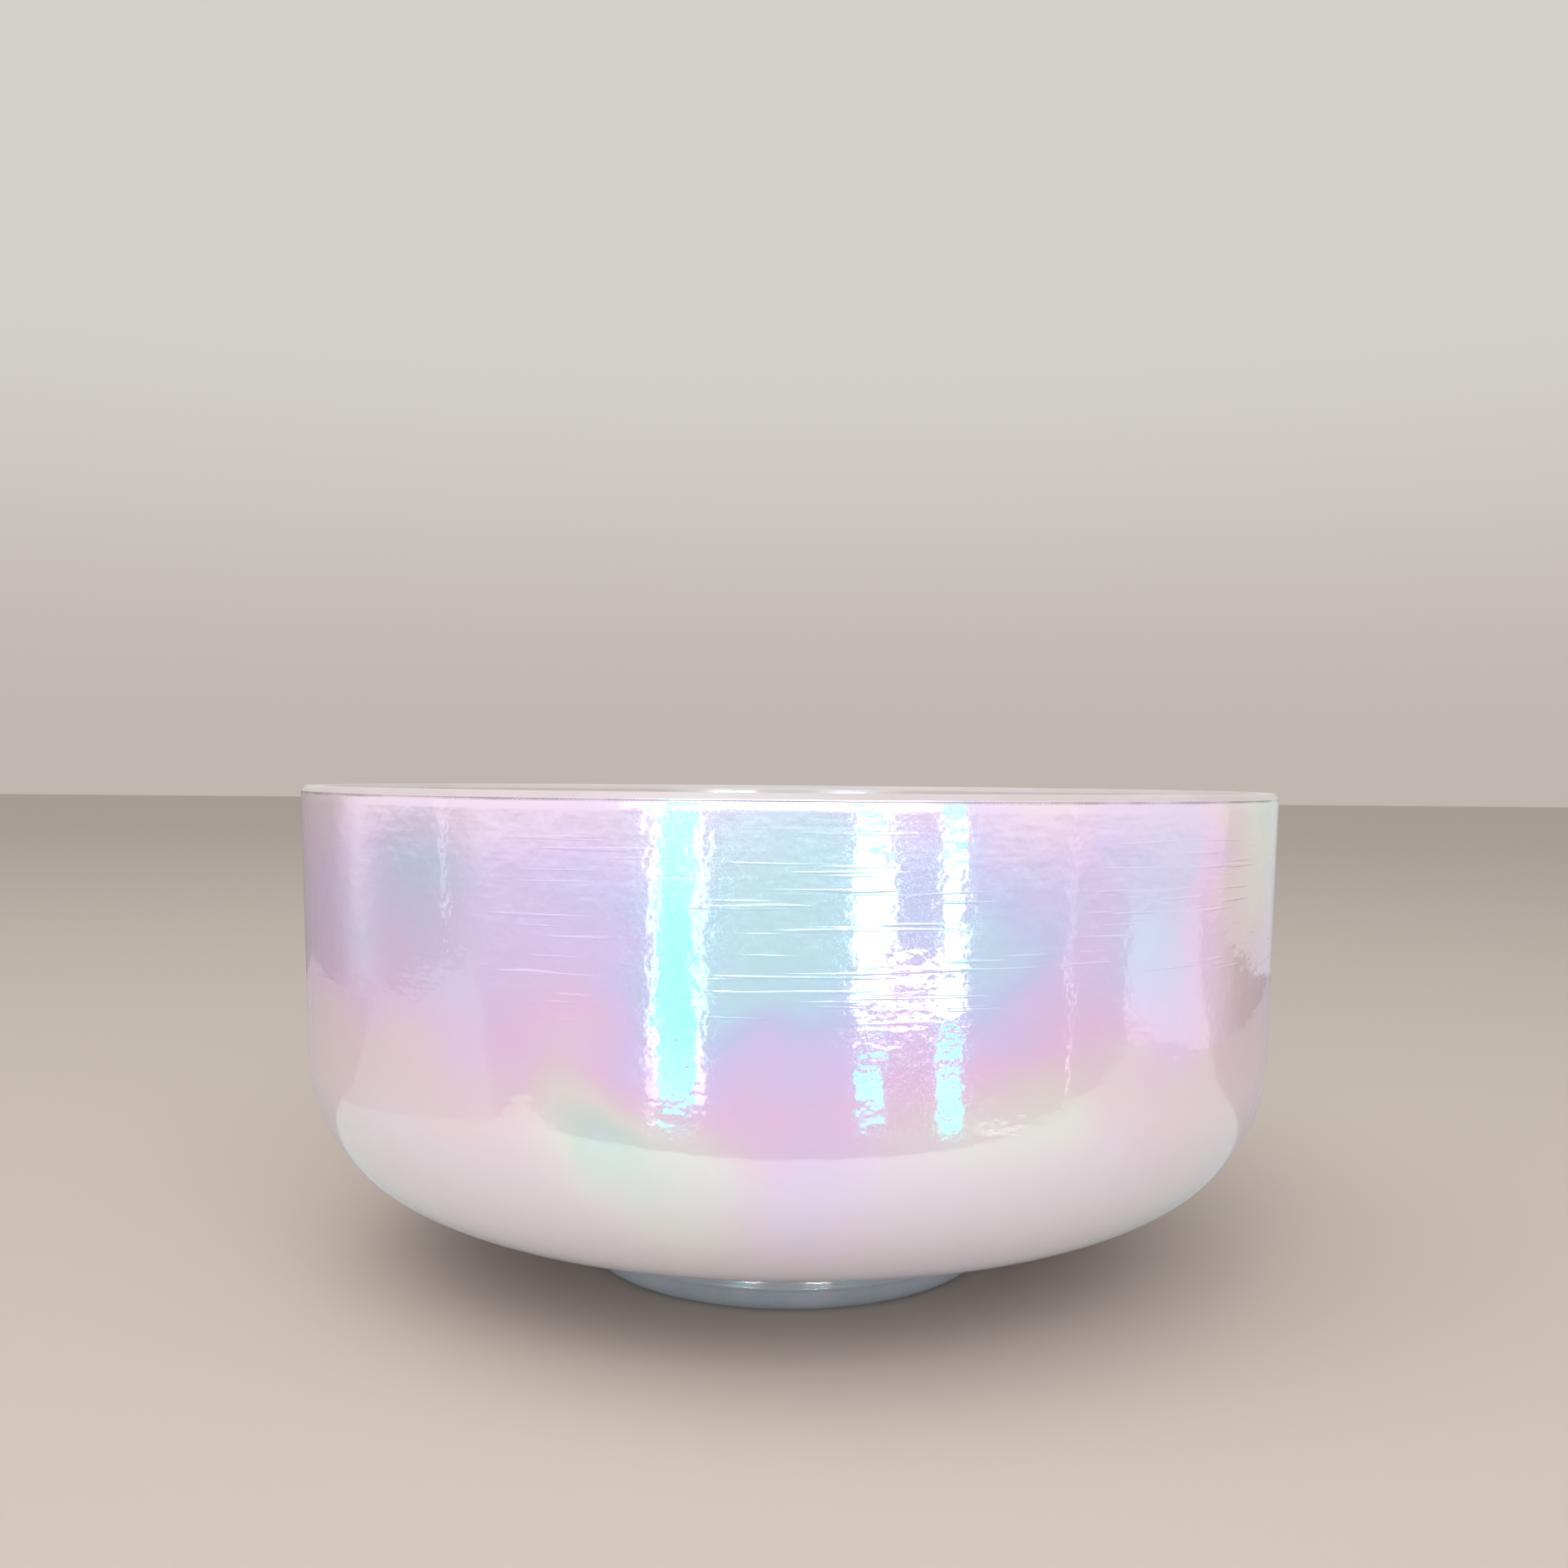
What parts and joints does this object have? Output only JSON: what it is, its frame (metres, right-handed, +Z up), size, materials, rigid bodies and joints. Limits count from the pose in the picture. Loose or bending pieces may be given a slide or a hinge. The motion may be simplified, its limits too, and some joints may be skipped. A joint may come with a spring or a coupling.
{
  "type": "crystal singing bowl on a support ring",
  "caption": "Wide round glass singing bowl with near-upright walls and a pearl iridescent coat, standing on a soft translucent support ring.",
  "frame": {"origin": "on the bowl's axis, in the plane that the support ring stands on", "axes": "+Z up along the bowl's axis; the bowl is round, so X and Y only set the viewing side, and -Y faces the viewer"},
  "size_m": [0.203, 0.203, 0.0997],
  "materials": {
    "coated_quartz": "milky white fused quartz under a glossy pearl coat that shifts between pink, lilac, mint and aqua",
    "silicone": "satin translucent silicone, cool grey"
  },
  "bodies": {
    "support_ring": {"support_ring": "silicone"},
    "bowl": {"bowl": "coated_quartz"}
  },
  "joints": [
    {"name": "bowl_lift", "type": "slide", "parent": "support_ring", "child": "bowl", "axis": [0, 0, 1], "range_m": [0, 0.06]}
  ]
}
